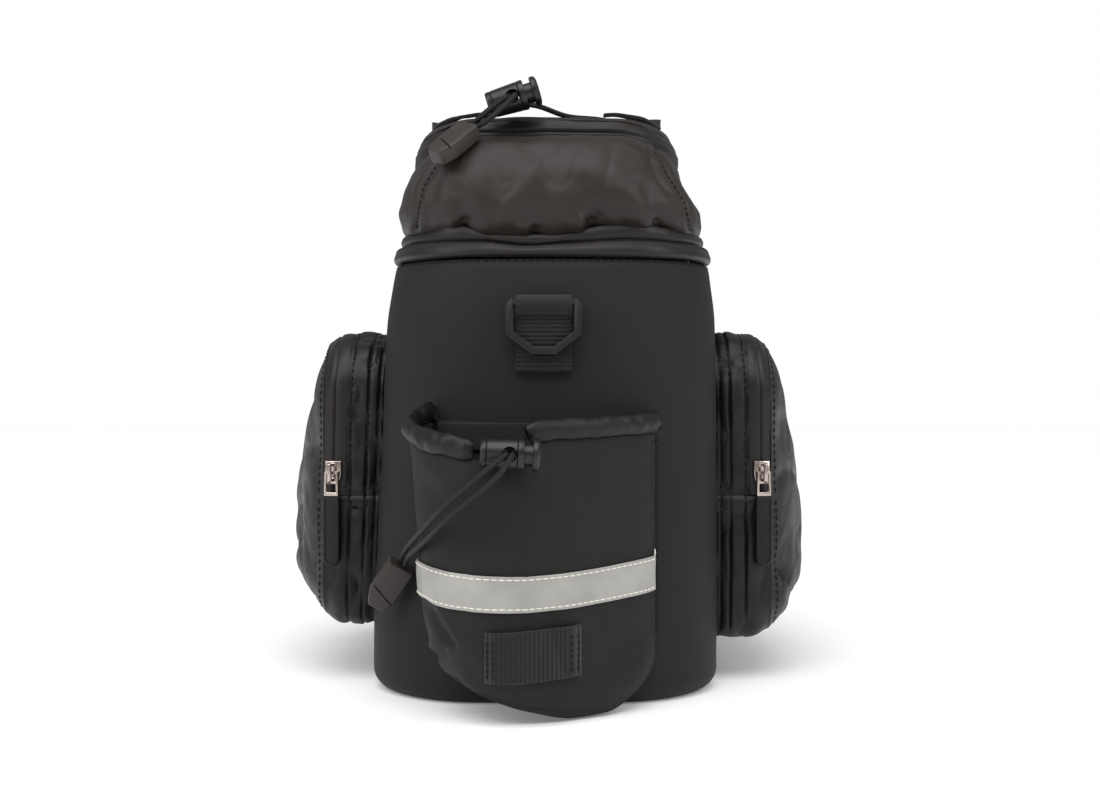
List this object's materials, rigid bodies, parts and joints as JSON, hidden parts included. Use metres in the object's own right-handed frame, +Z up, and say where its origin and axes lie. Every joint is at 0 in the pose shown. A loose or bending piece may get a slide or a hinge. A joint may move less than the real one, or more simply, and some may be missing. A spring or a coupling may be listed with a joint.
{
  "type": "bicycle trunk bag",
  "caption": "Soft box bag for a bicycle's rear rack, with a laced zipped lid, zipped side pockets, a rear bottle pocket with a drawcord, and a reflective stripe.",
  "frame": {"origin": "centre of the tub's flat base, where the bag rests", "axes": "+Z up out of the base, -Y towards the rear end with the bottle pocket, +X to the right of someone who faces that end"},
  "size_m": [0.2606, 0.3636, 0.283],
  "materials": {
    "coated_fabric": "charcoal polyester cloth with a fine plain weave and a light coating",
    "lid_fabric": "warm charcoal coated cloth, softer and slightly glossy",
    "pocket_fabric": "near-black fine-woven cloth",
    "zip_tape": "coated zip tape with fine ribs",
    "webbing": "black ribbed webbing",
    "plastic": "moulded black acetal with a satin grain",
    "elastic": "round braided elastic cord",
    "reflective": "silver-grey reflective tape",
    "nickel": "worn nickel plating",
    "rubber": "moulded black rubber with cross ribs"
  },
  "bodies": {
    "bag": {"tub": "coated_fabric", "main_zip_lower_tape": "zip_tape", "main_zip_upper_tape": "zip_tape", "main_zip_slider": "nickel", "lid_gusset": "lid_fabric", "lid_zip_band": "zip_tape", "lid_top": "lid_fabric", "lacing_strap_left": "webbing", "lacing_strap_right": "webbing", "lacing_cord": "elastic", "lid_lock_barrel": "plastic", "lid_tail_left": "elastic", "lid_tail_right": "elastic", "lid_cord_end": "plastic", "left_pocket_gusset_upper": "pocket_fabric", "left_pocket_zip_tape": "zip_tape", "left_pocket_gusset_lower": "pocket_fabric", "left_pocket_outer_panel": "pocket_fabric", "left_pocket_slider": "nickel", "right_pocket_gusset_upper": "pocket_fabric", "right_pocket_zip_tape": "zip_tape", "right_pocket_gusset_lower": "pocket_fabric", "right_pocket_outer_panel": "pocket_fabric", "right_pocket_slider": "nickel", "ring_tab": "webbing", "bottle_pocket": "coated_fabric", "bottle_casing_right": "pocket_fabric", "bottle_casing_left": "pocket_fabric", "bottle_mouth_band": "webbing", "reflective_stripe": "reflective", "light_loop": "webbing", "bottle_lock_barrel": "plastic", "bottle_cord_left": "elastic", "bottle_cord_right": "elastic", "bottle_tail_left": "elastic", "bottle_tail_right": "elastic", "bottle_cord_end": "plastic"},
    "hung_ring": {"d_ring": "plastic"},
    "left_pull": {"left_pocket_pull_link": "nickel", "left_pocket_pull_tab": "rubber"},
    "right_pull": {"right_pocket_pull_link": "nickel", "right_pocket_pull_tab": "rubber"},
    "lid_plunger": {"lid_lock_plunger": "plastic"},
    "bottle_plunger": {"bottle_lock_plunger": "plastic"}
  },
  "joints": [
    {"name": "ring_swing", "type": "hinge", "parent": "bag", "child": "hung_ring", "pos_m": [-0.0015, -0.14985, 0.177], "axis": [-1, 0, 0], "range_deg": [0, 150]},
    {"name": "left_pull_swing", "type": "hinge", "parent": "bag", "child": "left_pull", "pos_m": [-0.10265, -0.09104, 0.1], "axis": [-0.9381, 0.3465, 0], "range_deg": [0, 150]},
    {"name": "right_pull_swing", "type": "hinge", "parent": "bag", "child": "right_pull", "pos_m": [0.10292, -0.09103, 0.1], "axis": [-0.9335, -0.3586, 0], "range_deg": [0, 150]},
    {"name": "lid_plunger_press", "type": "slide", "parent": "bag", "child": "lid_plunger", "axis": [-0.9553, 0, -0.2955], "range_m": [0, 0.003], "stiffness_N_per_m": 400},
    {"name": "bottle_plunger_press", "type": "slide", "parent": "bag", "child": "bottle_plunger", "axis": [-0.9988, 0, 0.05], "range_m": [0, 0.003], "stiffness_N_per_m": 400}
  ]
}
